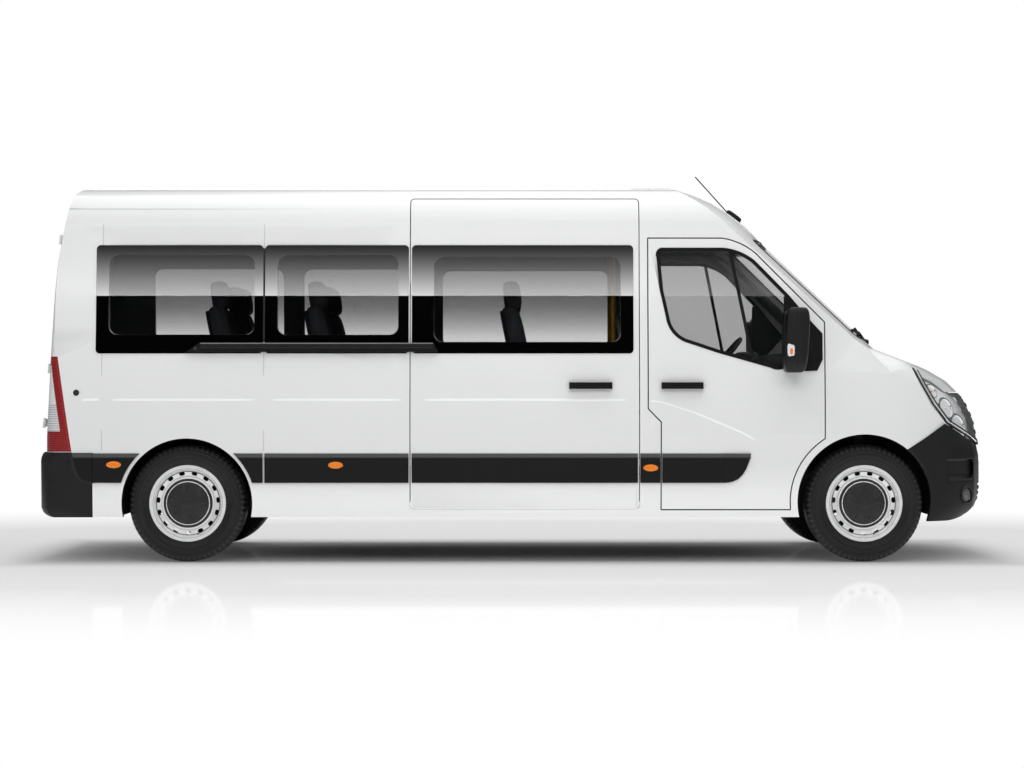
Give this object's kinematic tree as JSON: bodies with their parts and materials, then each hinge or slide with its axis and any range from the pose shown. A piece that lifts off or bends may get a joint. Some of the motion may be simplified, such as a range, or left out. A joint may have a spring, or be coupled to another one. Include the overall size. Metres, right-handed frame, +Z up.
{
  "type": "minibus",
  "caption": "Long white high-roof minibus with dark bonded side glass, a passenger sliding door, hinged front and rear doors, an opening bonnet and steered front wheels.",
  "frame": {"origin": "on the ground, at the middle of the overall length and width", "axes": "+X is the front of the vehicle, +Y its left, +Z up"},
  "size_m": [6.256, 2.47, 2.5516],
  "materials": {
    "paint": "white gloss paint",
    "glass": "lightly tinted glass",
    "dark_glass": "dark tinted glass",
    "bumper": "dark grey grained plastic",
    "trim": "dark grey grained plastic",
    "grille": "black plastic",
    "clear_lamp": "clear lamp cover",
    "red_lamp": "red lamp cover",
    "amber": "amber lens",
    "floor": "grey floor covering",
    "liner": "black arch liner",
    "dash": "dark grey moulded plastic",
    "seat": "dark grey cloth",
    "iron": "cast metal",
    "chassis": "black underbody paint",
    "black": "black plastic",
    "tyre": "black rubber",
    "steel": "silver painted steel"
  },
  "bodies": {
    "body": {"roof": "paint", "side_right": "paint", "side_left": "paint", "front_end": "paint", "floor": "floor", "wheel_housings": "liner", "windscreen": "glass", "side_windows": "dark_glass", "sliding_door": "paint", "front_bumper": "bumper", "rear_bumper": "bumper", "grille": "grille", "headlamps": "clear_lamp", "tail_lamps": "red_lamp", "side_trim": "trim", "side_markers": "amber", "dashboard": "dash", "seats": "seat", "engine": "iron", "underframe": "chassis", "rear_axle": "chassis", "wipers": "black", "aerial": "black"},
    "bonnet": {"bonnet": "paint"},
    "steering_wheel": {"steering_wheel": "dash"},
    "front_door_right": {"front_door_right": "paint", "front_door_right_glass": "glass", "front_door_right_trim": "trim"},
    "rear_door_right": {"rear_door_right": "paint", "rear_door_right_glass": "dark_glass"},
    "knuckle_right": {"knuckle_right": "chassis"},
    "wheel_front_right": {"tyre_front_right": "tyre", "rim_front_right": "steel"},
    "wheel_rear_right": {"tyre_rear_right": "tyre", "rim_rear_right": "steel"},
    "front_door_left": {"front_door_left": "paint", "front_door_left_glass": "glass", "front_door_left_trim": "trim"},
    "rear_door_left": {"rear_door_left": "paint", "rear_door_left_glass": "dark_glass"},
    "knuckle_left": {"knuckle_left": "chassis"},
    "wheel_front_left": {"tyre_front_left": "tyre", "rim_front_left": "steel"},
    "wheel_rear_left": {"tyre_rear_left": "tyre", "rim_rear_left": "steel"}
  },
  "joints": [
    {"name": "front_door_right_hinge", "type": "hinge", "parent": "body", "child": "front_door_right", "pos_m": [1.95, -1.037, 1], "axis": [0, 0, 1], "range_deg": [0, 70]},
    {"name": "rear_door_right_hinge", "type": "hinge", "parent": "body", "child": "rear_door_right", "pos_m": [-3.062, -0.876, 0.8], "axis": [0.0894, 0, 0.996], "range_deg": [0, 180]},
    {"name": "steer_right", "type": "hinge", "parent": "body", "child": "knuckle_right", "pos_m": [2.209, -0.805, 0.282], "axis": [0, 0.1945, 0.9809], "range_deg": [-35, 35]},
    {"name": "roll_front_right", "type": "hinge", "parent": "knuckle_right", "child": "wheel_front_right", "pos_m": [2.209, -0.868, 0.376], "axis": [0, 1, 0], "continuous": true},
    {"name": "roll_rear_right", "type": "hinge", "parent": "body", "child": "wheel_rear_right", "pos_m": [-2.121, -0.868, 0.376], "axis": [0, 1, 0], "continuous": true},
    {"name": "front_door_left_hinge", "type": "hinge", "parent": "body", "child": "front_door_left", "pos_m": [1.95, 1.037, 1], "axis": [0, 0, -1], "range_deg": [0, 70]},
    {"name": "rear_door_left_hinge", "type": "hinge", "parent": "body", "child": "rear_door_left", "pos_m": [-3.062, 0.876, 0.8], "axis": [-0.0894, 0, -0.996], "range_deg": [0, 180]},
    {"name": "steer_left", "type": "hinge", "parent": "body", "child": "knuckle_left", "pos_m": [2.209, 0.805, 0.282], "axis": [0, -0.1945, 0.9809], "range_deg": [-35, 35]},
    {"name": "roll_front_left", "type": "hinge", "parent": "knuckle_left", "child": "wheel_front_left", "pos_m": [2.209, 0.868, 0.376], "axis": [0, 1, 0], "continuous": true},
    {"name": "roll_rear_left", "type": "hinge", "parent": "body", "child": "wheel_rear_left", "pos_m": [-2.121, 0.868, 0.376], "axis": [0, 1, 0], "continuous": true},
    {"name": "bonnet_hinge", "type": "hinge", "parent": "body", "child": "bonnet", "pos_m": [2.258, 0, 1.38], "axis": [0, -1, 0], "range_deg": [0, 50]},
    {"name": "steering_wheel_turn", "type": "hinge", "parent": "body", "child": "steering_wheel", "pos_m": [1.43, 0.43, 1.31], "axis": [-0.766, 0, 0.6428], "range_deg": [-490, 490]}
  ],
  "couplings": [
    {"joint": "steer_right", "follows": "steer_left", "ratio": 1},
    {"joint": "steering_wheel_turn", "follows": "steer_left", "ratio": 14}
  ]
}
